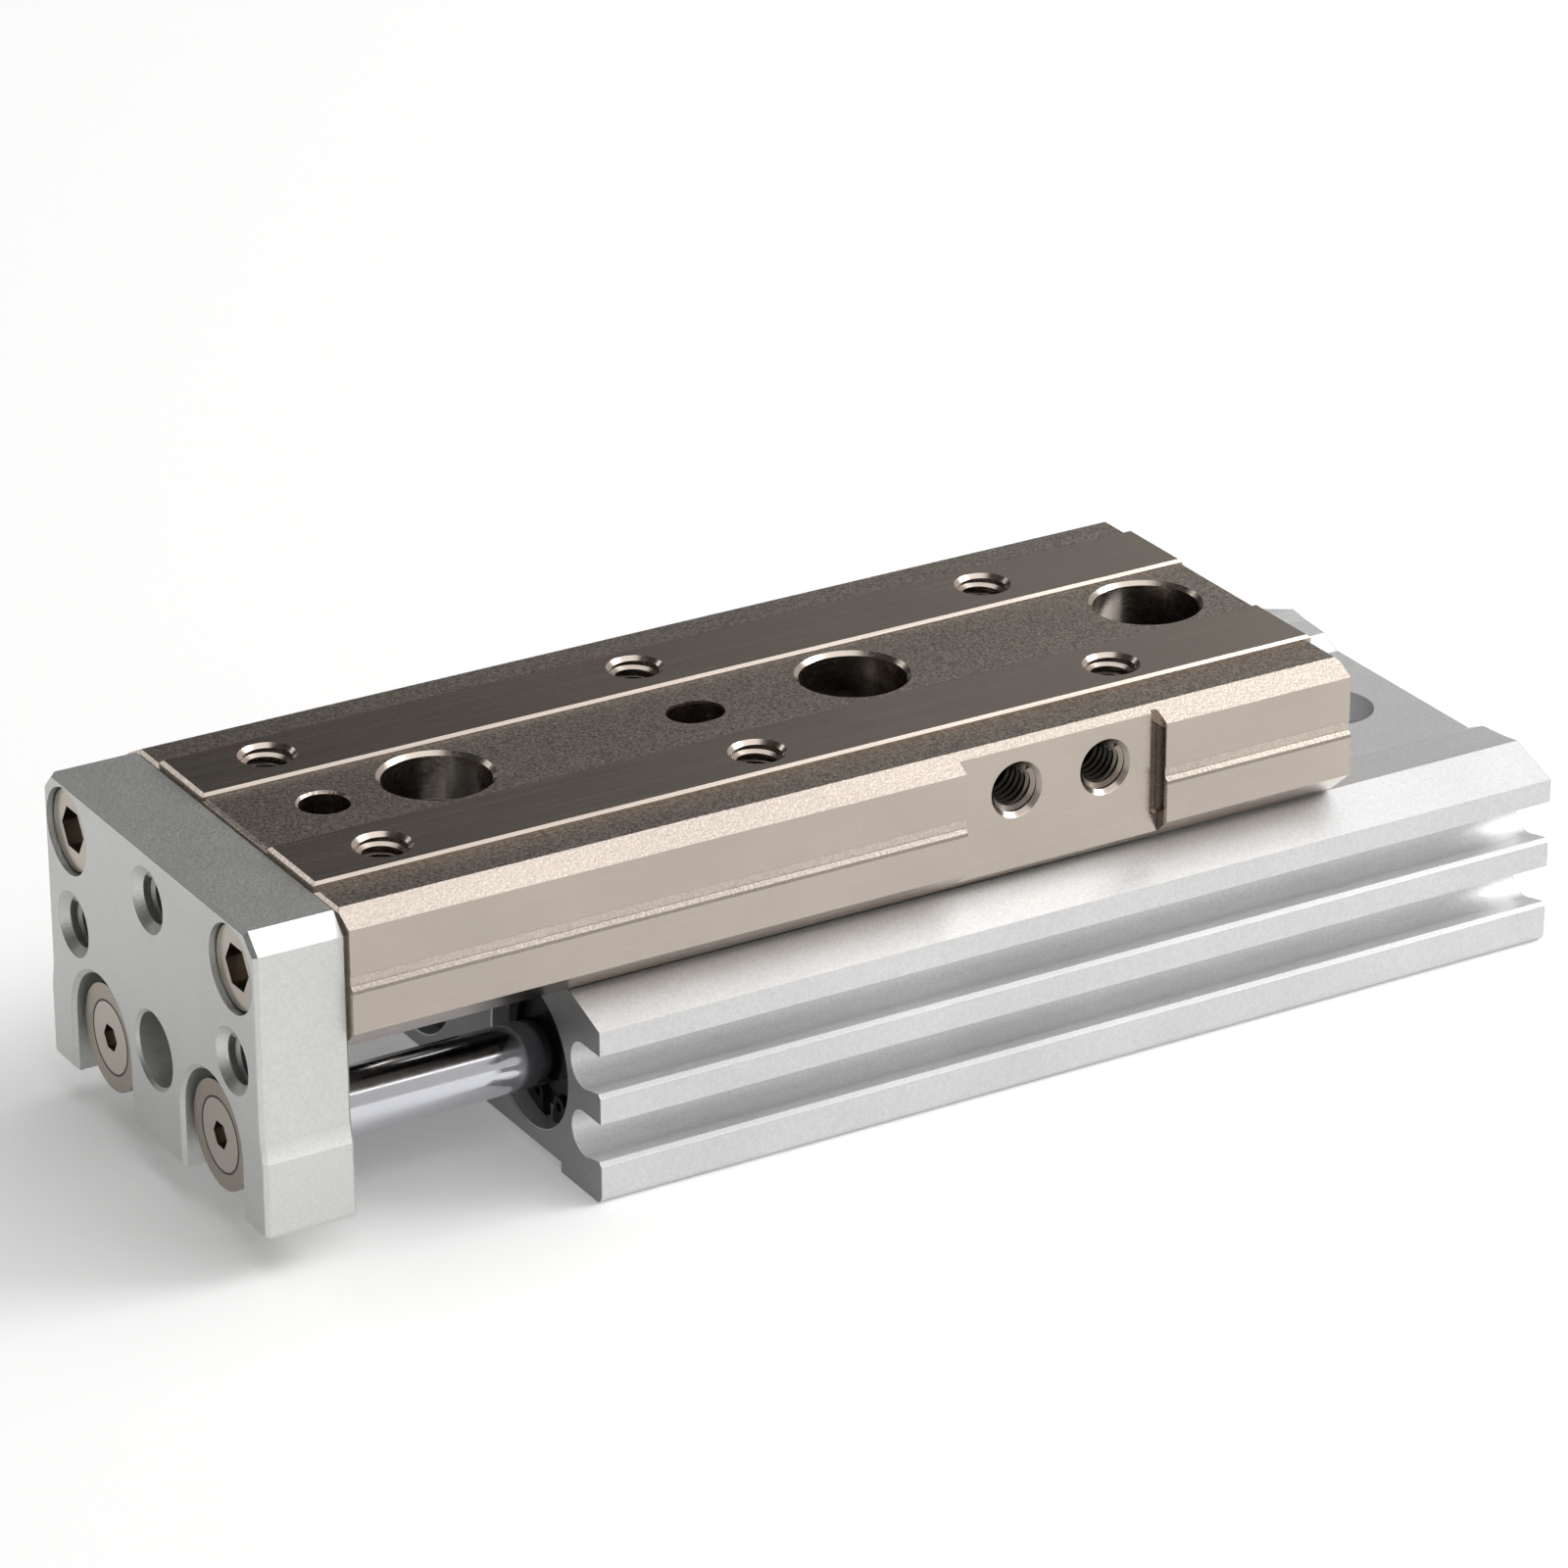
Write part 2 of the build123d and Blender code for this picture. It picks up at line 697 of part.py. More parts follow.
# Pistons, from the front: seal, magnet, wear ring, then the nose that keeps the port open
seal_front = piston_front + piston_land
magnet_front = seal_front + piston_seal_width + piston_land
wear_front = magnet_front + magnet_width + piston_land
piston_bands = (
    (seal_front, piston_seal_width, piston_seal_depth),
    (magnet_front, magnet_width, magnet_depth),
    (wear_front, wear_ring_width, wear_ring_depth),
)
piston_nose_radius = piston_nose_diameter / 2
piston_screw_radius = piston_screw_diameter / 2
head_radius = piston_screw_head_diameter / 2
head_seat_x = piston_rear - piston_screw_head_length - loose_clearance
for side, y in bore_ys.items():
    with BuildPart() as piston:
        turn(ring_section(piston_front, piston_nose_front, 0, piston_radius), y)
        turn(ring_section(piston_nose_front, piston_rear, 0, piston_nose_radius), y)
        for start, width, depth in piston_bands:
            band = ring_section(start, start + width, piston_radius - depth, bore_radius)
            turn(band, y, mode=Mode.SUBTRACT)
        socket = ring_section(piston_front, rod_rear, 0, rod_radius + seat_clearance)
        turn(socket, y, mode=Mode.SUBTRACT)
        shank_hole = ring_section(rod_rear, piston_rear, 0, piston_screw_radius + seat_clearance)
        turn(shank_hole, y, mode=Mode.SUBTRACT)
        head_hole = ring_section(head_seat_x, piston_rear, 0, head_radius + seat_clearance)
        turn(head_hole, y, mode=Mode.SUBTRACT)
    save(piston, f"piston_{side}")

    with BuildPart() as piston_rod:
        turn(ring_section(rod_front, rod_rear, 0, rod_radius), y)
        chamfer(piston_rod.faces().sort_by(Axis.X)[0].edges(), loose_clearance)
        rod_tap_rear = rod_front + rod_screw_grip + loose_clearance
        rod_tap = ring_section(rod_front, rod_tap_rear, 0, rod_screw_diameter / 2 + seat_clearance)
        turn(rod_tap, y, mode=Mode.SUBTRACT)
        rear_tap_front = rod_rear - piston_screw_grip - loose_clearance
        rear_tap = ring_section(rear_tap_front, rod_rear, 0, piston_screw_radius + seat_clearance)
        turn(rear_tap, y, mode=Mode.SUBTRACT)
    save(piston_rod, f"piston_rod_{side}")

for name, (start, width, depth) in zip(("seals", "magnets", "wear_rings"), piston_bands):
    # The seal and the wear ring ride on the bore; the magnet stays below the piston's skin
    reach = piston_radius if name == "magnets" else bore_radius - running_clearance
    band_inner = piston_radius - depth + seat_clearance
    band = (start + seat_clearance, start + width - seat_clearance, band_inner, reach)
    save_pair(f"piston_{name}", ring_section(*band))

screw_tip_x = rod_rear - piston_screw_grip
screw_head_rear = head_seat_x + piston_screw_head_length
save_pair(
    "piston_screws",
    [
        (screw_tip_x, 0),
        (screw_tip_x, piston_screw_radius),
        (head_seat_x, piston_screw_radius),
        (head_seat_x, head_radius),
        (screw_head_rear, head_radius),
        (screw_head_rear, 0),
    ],
)

# End plate
slot_floor_x = plate_front + bush_inset + bush_flange_thickness


def slot_outline(width):
    """The two U slots, open at the plate's bottom edge."""
    with BuildSketch(across(plate_front)) as outline:
        for y in bore_ys.values():
            with Locations((y, slot_centre_height)):
                Circle(width / 2)
            with Locations((y, slot_centre_height / 2)):
                Rectangle(width, slot_centre_height)
    return outline.sketch


with BuildPart() as end_plate:
    with BuildSketch(across(plate_front)) as plate_profile:
        with BuildLine():
            ledge_start = (plate_half_width, plate_ledge_top)
            ledge_end = (plate_foot_half_width, plate_ledge_bottom)
            TangentArc(ledge_start, ledge_end, tangent=(0, -1))
            Polyline(
                ledge_end,
                (plate_foot_half_width, plate_bottom),
                (0, plate_bottom),
                (0, plate_top),
                (plate_half_width, plate_top),
                ledge_start,
            )
        make_face()
        fillet(plate_profile.vertices().group_by(Axis.Y)[0].sort_by(Axis.X)[-1], plate_bottom_round)
        chamfer(plate_profile.vertices().group_by(Axis.Y)[-1].sort_by(Axis.X)[-1], plate_top_chamfer)
        mirror(about=Plane.YZ)
    extrude(amount=plate_thickness)
    extrude(slot_outline(slot_width), amount=slot_floor_x - plate_front, mode=Mode.SUBTRACT)
    extrude(slot_outline(slot_neck_width), amount=plate_thickness, mode=Mode.SUBTRACT)
    chamfer(end_plate.faces().sort_by(Axis.X)[0].outer_wire().edges(), plate_front_break)
    chamfer(end_plate.faces().sort_by(Axis.X)[-1].outer_wire().edges(), plate_rear_break)
    plate_screw_points = [(y * plate_screw_spacing / 2, plate_screw_height) for y in (-1, 1)]
    seat_depth = plate_screw_inset + plate_screw_head_length
    bored(plate_screw_points, plate_screw_seat_diameter, across(plate_front), seat_depth)
    shank_bore = plate_screw_diameter + loose_clearance
    bored(plate_screw_points, shank_bore, across(plate_front), plate_thickness)
    plate_taps = [(y * plate_tap_spacing / 2, plate_tap_height) for y in (-1, 1)]
    plate_taps.append((0, plate_top_tap_height))
    sunk_holes(front_face(plate_front), plate_taps, m6_thread, plate_tap_rim, plate_thickness)
    centre_hole = [(0, plate_hole_height)]
    rim_bore = (plate_hole_diameter, plate_hole_rim, plate_thickness)
    sunk_holes(front_face(plate_front), centre_hole, *rim_bore)
save(end_plate, "end_plate")

with BuildPart() as end_plate_screws:
    head_front = plate_front + plate_screw_inset
    head_rear = head_front + plate_screw_head_length
    tip_x = plate_rear + plate_screw_grip
    for y, z in plate_screw_points:
        turn(ring_section(head_front, head_rear, 0, plate_screw_head_diameter / 2), y, z)
        turn(ring_section(head_rear, tip_x, 0, plate_screw_diameter / 2), y, z)
        with BuildSketch(across(head_front)):
            with Locations((y, z)):
                RegularPolygon(plate_screw_hex / 2, 6, major_radius=False)
        extrude(amount=plate_screw_hex_depth, mode=Mode.SUBTRACT)
save(end_plate_screws, "end_plate_screws")

# Rod ends: a flanged bush in each U slot, a countersunk screw through it into the rod,
# and a dark collar between the plate and the rod
bush_front_x = plate_front + bush_inset
screw_head_radius = rod_screw_head_diameter / 2
rod_screw_radius = rod_screw_diameter / 2
sink_radius = screw_head_radius + seat_clearance
bore_clear = rod_screw_radius + loose_clearance
sink_rear = bush_front_x + sink_radius - bore_clear
save_pair(
    "rod_end_bushes",
    [
        (bush_front_x, sink_radius),
        (bush_front_x, bush_flange_diameter / 2),
        (slot_floor_x, bush_flange_diameter / 2),
        (slot_floor_x, bush_neck_diameter / 2),
        (plate_rear, bush_neck_diameter / 2),
        (plate_rear, bore_clear),
        (sink_rear, bore_clear),
    ],
)
collar_inner = rod_screw_radius + loose_clearance
collar_outer = collar_diameter / 2
save_pair("rod_collars", ring_section(plate_rear, rod_front, collar_inner, collar_outer))

with BuildPart() as rod_end_screws:
    cone_rear = bush_front_x + screw_head_radius - rod_screw_radius
    screw_tip = rod_front + rod_screw_grip
    for y in bore_ys.values():
        turn(
            [
                (bush_front_x, 0),
                (bush_front_x, screw_head_radius),
                (cone_rear, rod_screw_radius),
                (screw_tip, rod_screw_radius),
                (screw_tip, 0),
            ],
            y,
        )
        with BuildSketch(across(bush_front_x)):
            with Locations((y, bore_height)):
                RegularPolygon(rod_screw_hex / 2, 6, major_radius=False)
        extrude(amount=rod_screw_hex_depth, mode=Mode.SUBTRACT)
save(rod_end_screws, "rod_end_screws")

# Table: a steel U channel whose legs hold the outer ball grooves
with BuildPart() as table:
    with BuildSketch(across(plate_rear)):
        with BuildLine():
            Polyline(
                (0, table_underside),
                (leg_inner, table_underside),
                (leg_inner, leg_bottom),
                (leg_half_width - leg_bevel_width, leg_bottom),
                (leg_half_width, leg_bevel_top),
                (leg_half_width, table_ledge_bottom),
                (table_half_width - table_ledge_relief, table_ledge_bottom + table_ledge_step),
                (table_half_width - table_ledge_relief, table_ledge_top - table_ledge_relief),
                (table_half_width, table_ledge_top),
                (table_half_width, table_chamfer_bottom),
                (table_half_width - table_chamfer_width, outer_strip_top),
                (pad_outer, outer_strip_top),
                (pad_outer, pad_top - pad_edge_chamfer),
                (pad_outer - pad_edge_chamfer, pad_top),
                (pad_inner + pad_edge_chamfer, pad_top),
                (pad_inner, pad_top - pad_edge_chamfer),
                (pad_inner, centre_strip_top),
                (0, centre_strip_top),
                close=True,
            )
        make_face()
        with Locations((ball_row, ball_height)):
            Circle(ball_radius + ball_clearance, mode=Mode.SUBTRACT)
        mirror(about=Plane.YZ)
    extrude(amount=table_length)
    for end_face in (table.faces().sort_by(Axis.X)[0], table.faces().sort_by(Axis.X)[-1]):
        top_edges = end_face.edges().filter_by_position(Axis.Z, outer_strip_top, pad_top)
        chamfer(top_edges.filter_by(Axis.Y), table_end_break)
    # Near side: a milled flat for bolt-on parts, with a key groove at its rear end
    with BuildSketch(Plane.XZ.offset(-recess_y)):
        with Locations((recess_x + recess_length / 2, (leg_bottom + pad_top) / 2)):
            Rectangle(recess_length, pad_top - leg_bottom + 2 * cutter_overrun)
    extrude(amount=table_half_width, mode=Mode.SUBTRACT)
    key_length = outer_strip_top - key_groove_drop - key_groove_bottom
    with BuildSketch(Plane.XZ.offset(-recess_y - key_groove_depth)):
        key_x = recess_x + recess_length - key_groove_width / 2
        with Locations((key_x, key_groove_bottom + key_length / 2)):
            SlotOverall(key_length, key_groove_width, rotation=90)
    extrude(amount=table_half_width, mode=Mode.SUBTRACT)
    recess_taps = [(x, recess_tap_height) for x in recess_tap_xs]
    recess_plane = Plane(origin=(0, recess_y, 0), x_dir=(1, 0, 0), z_dir=(0, -1, 0))
    sunk_holes(recess_plane, recess_taps, m6_thread, recess_tap_rim, recess_tap_depth)
    # Top: tapped holes in the pads, locating holes and access holes on the centre line
    tap_points = [(x, y * table_tap_spacing / 2) for x in table_tap_xs for y in (-1, 1)]
    tap_depth = pad_top - table_underside
    sunk_holes(Plane.XY.offset(pad_top), tap_points, m6_thread, table_tap_rim, tap_depth)
    centre_plane = Plane.XY.offset(centre_strip_top)
    pin_points = [(table_tap_xs[0], 0)]
    sunk_holes(centre_plane, pin_points, pin_hole_diameter, pin_hole_rim, pin_hole_depth)
    with BuildSketch(centre_plane):
        with Locations((table_tap_xs[1], 0)):
            SlotOverall(pin_slot_length, pin_hole_diameter)
    extrude(amount=-pin_hole_depth, mode=Mode.SUBTRACT)
    access_points = [(x, 0) for x in access_xs]
    access_depth = centre_strip_top - table_underside
    rim_bore = (access_hole_diameter, access_hole_rim, access_depth)
    sunk_holes(centre_plane, access_points, *rim_bore)
    # Front end: tapped holes for the plate screws
    plate_tap_bore = plate_screw_diameter + 2 * seat_clearance
    plate_tap_depth = plate_screw_grip + loose_clearance
    bored(plate_screw_points, plate_tap_bore, across(plate_rear), plate_tap_depth)
save(table, "table")
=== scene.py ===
import json
import math

import bmesh
import bpy
from mathutils import Matrix, Vector


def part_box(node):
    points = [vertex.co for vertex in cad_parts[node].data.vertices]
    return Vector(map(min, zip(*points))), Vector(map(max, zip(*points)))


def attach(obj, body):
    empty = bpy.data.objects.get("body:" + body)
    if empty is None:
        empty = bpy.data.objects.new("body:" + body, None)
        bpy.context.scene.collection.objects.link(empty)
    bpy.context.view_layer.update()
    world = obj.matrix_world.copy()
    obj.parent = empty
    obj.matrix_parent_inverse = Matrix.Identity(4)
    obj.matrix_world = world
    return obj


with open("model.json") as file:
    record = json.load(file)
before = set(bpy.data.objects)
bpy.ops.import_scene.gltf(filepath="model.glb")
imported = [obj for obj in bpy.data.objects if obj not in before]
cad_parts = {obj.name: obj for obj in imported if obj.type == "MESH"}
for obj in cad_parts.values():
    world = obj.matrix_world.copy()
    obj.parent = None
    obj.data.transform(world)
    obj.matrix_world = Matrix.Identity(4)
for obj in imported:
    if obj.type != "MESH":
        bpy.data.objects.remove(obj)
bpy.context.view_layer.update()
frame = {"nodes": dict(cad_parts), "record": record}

# Pneumatic slide table. Metres, in the frame of the CAD: +X to the rear, +Z up,
# and the side with the sensor grooves faces -Y.

MM = 0.001
DRIVEN = "slide"
AXIS_X = Vector((1.0, 0.0, 0.0))
AXIS_Y = Vector((0.0, 1.0, 0.0))
AXIS_Z = Vector((0.0, 0.0, 1.0))
WHITE = (1.0, 1.0, 1.0, 1.0)

# Threaded holes: M6 coarse, drawn as a helical ridge that stands in from the hole's wall.
# Each thread starts a little behind the face that its hole opens in.
TAP_RADIUS = 3.0 * MM
THREAD_PITCH = 1.0 * MM
THREAD_HEIGHT = 0.52 * MM
THREAD_CREST = 0.16 * MM
THREAD_ROOT = 0.86 * MM
THREAD_SUNK = 0.03 * MM
THREAD_STEPS = 32
THREAD_MERGE = 0.005 * MM
THREAD_SHARP = math.radians(35)
TOP_TAP_START = 0.5 * MM
TOP_TAP_TURNS = 5
SIDE_TAP_START = 0.5 * MM
SIDE_TAP_TURNS = 6
SIDE_TAP_FACE = -26.1 * MM
PLATE_TAP_START = 1.0 * MM
PLATE_TAP_TURNS = 8

# Painted shadow: a dark ring round each rod screw's head, standing for the gap's shade: inner and outer
# radius
HEAD_SHADOW_RING = (4.38 * MM, 4.66 * MM)
RING_THICKNESS = 0.06 * MM
RING_PROUD = 0.02 * MM
RING_STEPS = 96
RING_MERGE = 0.002 * MM

# Grain of the two shared skins. The blasted one has patches, and the ground one has clouds,
# in which its tone drifts slowly.
GRAIN_SCALE = 2500.0
STRETCH_ALONG_X = (40.0, GRAIN_SCALE, GRAIN_SCALE)
STRETCH_ROUND = (1500.0, 300.0, 300.0)
BLASTED_DEPTH = 0.02 * MM
GROUND_DEPTH = 0.005 * MM
BLASTED_ROUGH_SWING = 0.2
GROUND_ROUGH_SWING = 0.25
DRIFT_SPAN = (0.3, 0.7)
PATCH_SCALE = 60.0
PATCH_TONES = (0.96, 1.03)
CLOUD_SCALE = 45.0
CLOUD_TONES = (0.94, 1.05)

# Zones of the table's skin. The pads are ground. The strips between them, the edge chamfers
# and the ledge along each side keep the rough drawn skin.
PADS = (8.08 * MM, 19.42 * MM)
TOP_ROUGH_ABOVE = 42.27 * MM
CHAMFER_SLOPE = 0.528
CHAMFER_LINE = 55.36 * MM
LEDGE = (32.96 * MM, 35.06 * MM)
LEDGE_ASIDE = (27.6 * MM, 55.2 * MM)
ACCESS_RIM = 7.02 * MM
# Grain of the top strips: random specks, and a painted shade that darkens the strips overall
STRIP_GRAIN = 2900.0
STRIP_GRAIN_SPAN = (0.35, 0.65)
STRIP_SPECKS_AND_PAINTED_SHADE = (0.50, 1.02)

# Zones of the table with painted shade or painted light, which multiplies the colour: painted shade on
# the ledge's step and the pad edges against their highlights, and in the channel, holes, side taps and
# key groove's wall where shade falls;
# painted light on the key groove's floor. The key groove crosses the side at the end of the milled
# flat. Pairs of levels run from deep to shallow, or for the side taps from their mouth inwards.
STEP_HEIGHTS = (32.96 * MM, 33.93 * MM)
STEP_PAINTED_SHADE = 0.55
PAD_EDGES = ((8.05 * MM, 8.5 * MM), (19.0 * MM, 19.45 * MM))
PAD_EDGE_HEIGHTS = (42.25 * MM, 1000.0 * MM)
PAD_EDGE_PAINTED_SHADE = 0.8
TABLE_INSIDE_X = (-95.7 * MM, 38.1 * MM)
CHANNEL_Y = (-24.0 * MM, 24.0 * MM)
CHANNEL_HEIGHTS = (20.0 * MM, 36.65 * MM)
CHANNEL_PAINTED_SHADE = 0.3
TOP_HOLES = (36.7 * MM, 42.25 * MM)
TOP_HOLE_PAINTED_SHADES = (0.3, 1.0)
HOLE_ROWS = 17.4 * MM
PIN_HOLE_REACH = 3.9 * MM
PIN_HOLE_PAINTED_SHADE = 0.8
SIDE_TAP_DEPTHS = (-26.04 * MM, -23.8 * MM)
SIDE_TAP_REACH_X = 3.6 * MM
SIDE_TAP_REACH_Z = 3.8 * MM
SIDE_TAP_PAINTED_SHADES = (0.75, 0.25)
KEY_HEIGHTS = (20.0 * MM, 40.0 * MM)
KEY_FLOOR_X = (10.82 * MM, 11.95 * MM)
KEY_FLOOR_Y = (-26.06 * MM, -25.5 * MM)
KEY_FLOOR_PAINTED_LIGHT = 1.2
KEY_WALL_X = (11.95 * MM, 12.10 * MM)
KEY_WALL_Y = (-27.58 * MM, -25.5 * MM)
KEY_WALL_PAINTED_SHADE = 0.25

# Zones of the body with painted shade or light: painted shade on its cut ends and on the lower lips of
# its sensor grooves, a little below their middles; painted light in the grooves and on the shoulder
# beside the table, fading out towards the rear
BODY_END = 66.45 * MM
BODY_END_PAINTED_SHADE = 0.5
GROOVE_X = (-66.4 * MM, 66.4 * MM)
GROOVE_Y = (-30.5 * MM, -23.8 * MM)
GROOVE_REACH = 3.0 * MM
GROOVE_PAINTED_LIGHT = 1.14
LIP_Y = (-30.98 * MM, -30.52 * MM)
LIP_BELOW = 2.325 * MM
LIP_REACH = 0.275 * MM
LIP_PAINTED_SHADE = 0.62
SHOULDER_Y = (-30.95 * MM, -23.9 * MM)
SHOULDER_HEIGHTS = (20.0 * MM, 25.0 * MM)
SHOULDER_FADE_X = (15.0 * MM, 45.0 * MM)
SHOULDER_PAINTED_LIGHT = (1.16, 1.0)

# Zones of the plate with painted shade or light: painted shade on its front and in its threads, and a
# painted highlight in the cove on each side above its foot, which falls from its lower end up
PLATE_FRONT = -107.12 * MM
PLATE_FRONT_PAINTED_SHADE = 0.88
PLATE_THREAD_START = -106.2 * MM
PLATE_TAP_REACH = 4.1 * MM
PLATE_THREAD_PAINTED_SHADE = 0.6
COVE_ASIDE = (26.9 * MM, 30.0 * MM)
COVE_HEIGHTS = (14.5 * MM, 17.0 * MM)
COVE_PAINTED_LIGHT = (1.25, 0.97)

# Camera, as fitted to the photograph: it stands to the front left of the part and looks down
CAMERA_TARGET = Vector((-23.81, -0.17, 30.62)) * MM
CAMERA_DISTANCE = 798.75 * MM
CAMERA_AZIMUTH = math.radians(-30.78)
CAMERA_ELEVATION = math.radians(24.54)
CAMERA_ROLL = -0.00325
CAMERA_LENS = 154.67
CAMERA_SENSOR = 36.0
CAMERA_CLIP = (0.01, 50.0)

# Studio. The dome's glow grows to the right, along X, and towards the camera, along Y.
FLOOR_SIZE = 12.0
FLOOR_GLOW = 0.20
FLOOR_COLOUR = (0.78, 0.78, 0.78, 1.0)
DOME_RADIUS = 3.2
DOME_LOW = 0.25
DOME_COLOUR = (0.05, 0.05, 0.05, 1.0)
DOME_GLOW_COLOUR = (1.0, 0.97, 0.94, 1.0)
DOME_RIGHT_X = (0.9, 2.6)
DOME_RIGHT_GLOW = (0.02, 0.62)
DOME_FRONT_Y = (-0.4, -2.4)
DOME_FRONT_GLOW = (0.0, 0.52)
WORLD_LIGHT = 0.35
WORLD_SEEN = 1.0

# Lamps: name, place, aim, size in metres, power in watts
LAMPS = (
    ("overhead", (0.75, -0.5, 2.0), (0.75, -0.5, 0.0), 3.0, 40.0),
    ("right", (1.7, -0.6, 1.3), (0.0, 0.0, 0.0), 1.0, 26.0),
    ("edge_light", (-1.22, 2.30, 1.37), (0.0, 0.0, 0.0), 0.6, 2.5),
)


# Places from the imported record


mounts = {entry["name"]: entry for entry in frame["record"]["mounts"]}


def mount_point(name):
    """A mount's place, in metres."""
    return Vector(mounts[name]["pos_m"])


def pattern_points(name, along_axis, across_axis):
    """Hole centres of a bolt pattern, whose x spacing runs along and whose y spacing across."""
    dims = mounts[name]["dims"]
    centre = mount_point(name)
    along = [0.0]
    if "spacing_x_mm" in dims:
        along = [-dims["spacing_x_mm"] / 2 * MM, dims["spacing_x_mm"] / 2 * MM]
    across = [0.0]
    if "spacing_y_mm" in dims:
        across = [-dims["spacing_y_mm"] / 2 * MM, dims["spacing_y_mm"] / 2 * MM]
    return [centre + along_axis * a + across_axis * b for a in along for b in across]


# The pin slot is no mount, but it lies between the middle pair of threads
pin_points = [mount_point("table_pin_hole"), mount_point("table_taps_middle")]
access_points = [mount_point(f"table_access_{place}") for place in ("front", "middle", "rear")]
side_tap_points = pattern_points("table_side_taps", AXIS_X, AXIS_Z)
plate_tap_points = pattern_points("plate_taps_lower", AXIS_Y, AXIS_Z) + [mount_point("plate_tap_upper")]
groove_points = [mount_point("sensor_groove_lower"), mount_point("sensor_groove_upper")]


# Shader nodes


def add_node(tree, kind, links=(), **settings):
    """A node with its properties set, and (input, value or socket) pairs filled in."""
    node = tree.nodes.new(kind)
    for key, value in settings.items():
        setattr(node, key, value)
    for key, value in links:
        if isinstance(value, bpy.types.NodeSocket):
            tree.links.new(value, node.inputs[key])
        else:
            node.inputs[key].default_value = value
    return node


def link_all(tree, results, node):
    """Link each result to the node's input of that name."""
    for key, result in results.items():
        tree.links.new(result, node.inputs[key])


def maths(tree, operation, *values):
    """The result of one Math node."""
    return add_node(tree, "ShaderNodeMath", list(enumerate(values)), operation=operation).outputs[0]


def ramp(tree, value, low, high, at_low, at_high, **settings):
    """A clamped ramp of one value."""
    links = [
        ("Value", value),
        ("From Min", low),
        ("From Max", high),
        ("To Min", at_low),
        ("To Max", at_high),
    ]
    return add_node(tree, "ShaderNodeMapRange", links, **settings).outputs[0]


def noise(tree, place, scale, detail, roughness=0.5):
    """A noise pattern, which swings about 0.5."""
    links = [("Vector", place), ("Scale", scale), ("Detail", detail), ("Roughness", roughness)]
    return add_node(tree, "ShaderNodeTexNoise", links).outputs["Fac"]


def scaled(tree, colour, factor):
    """A colour times a value."""
    links = [(0, colour), ("Scale", factor)]
    return add_node(tree, "ShaderNodeVectorMath", links, operation="SCALE").outputs[0]


# A Mix node's two inputs and its output, for each kind of value
MIX_SOCKETS = {"FLOAT": (2, 3, 0), "VECTOR": (4, 5, 1), "RGBA": (6, 7, 2)}


def mixed(tree, kind, factor, first, second):
    """Two values of one kind: the first where the factor is 0, and the second where it is 1."""
    at_zero, at_one, result = MIX_SOCKETS[kind]
    links = [("Factor", factor), (at_zero, first), (at_one, second)]
    return add_node(tree, "ShaderNodeMix", links, data_type=kind).outputs[result]


def object_place(tree):
    """The place on the piece, in its own coordinates."""
    return add_node(tree, "ShaderNodeTexCoord").outputs["Object"]


def split(tree, place):
    """The X, Y and Z of a place."""
    return add_node(tree, "ShaderNodeSeparateXYZ", [("Vector", place)]).outputs


def around(middle, reach):
    """The span that reaches equally far to both sides of its middle."""
    return middle - reach, middle + reach


def inside(tree, *spans):
    """1 where every one of the (socket, (low, high)) spans holds, 0 elsewhere."""
    result = None
    for socket, (low, high) in spans:
        test = maths(tree, "COMPARE", socket, (low + high) / 2, (high - low) / 2)
        result = test if result is None else maths(tree, "MULTIPLY", result, test)
    return result


def shaded(tree, shade, mask, level):
    """The shade so far, times the level where the mask is 1."""
    drop = maths(tree, "SUBTRACT", level, 1.0)
    return maths(tree, "MULTIPLY", shade, maths(tree, "MULTIPLY_ADD", mask, drop, 1.0))


def seen_rays(tree):
    """1 for camera, glossy and transmission rays, which show the backdrop, and 0 for the rest."""
    rays = add_node(tree, "ShaderNodeLightPath").outputs
    first = maths(tree, "MAXIMUM", rays["Is Camera Ray"], rays["Is Glossy Ray"])
    return maths(tree, "MAXIMUM", first, rays["Is Transmission Ray"])


# Node groups that several finishes share


SKIN_OUTPUTS = (
    ("Colour", "NodeSocketColor"),
    ("Roughness", "NodeSocketFloat"),
    ("Normal", "NodeSocketVector"),
)


def new_group(name, inputs, outputs):
    """An empty shader group with named sockets: inputs are (name, kind, default)."""
    group = bpy.data.node_groups.new(name, "ShaderNodeTree")
    for label, kind, default in inputs:
        socket = group.interface.new_socket(label, in_out="INPUT", socket_type=kind)
        socket.default_value = default
    for label, kind in outputs:
        group.interface.new_socket(label, in_out="OUTPUT", socket_type=kind)
    given = group.nodes.new("NodeGroupInput").outputs
    sink = group.nodes.new("NodeGroupOutput")
    return group, given, sink


def fill_skin(group, given, sink, pattern, contrast, drift, rough_swing):
    """Fill a skin's outputs from its fine pattern and the slow drift of its tone."""
    swing = maths(group, "SUBTRACT", pattern, 0.5)
    fine = maths(group, "MULTIPLY_ADD", swing, given[contrast], 1.0)
    bump = [("Strength", 1.0), ("Distance", given["Depth"]), ("Height", pattern)]
    results = {
        "Colour": scaled(group, given["Colour"], maths(group, "MULTIPLY", fine, drift)),
        "Roughness": maths(group, "MULTIPLY_ADD", swing, rough_swing, given["Roughness"]),
        "Normal": add_node(group, "ShaderNodeBump", bump).outputs[0],
    }
    link_all(group, results, sink)


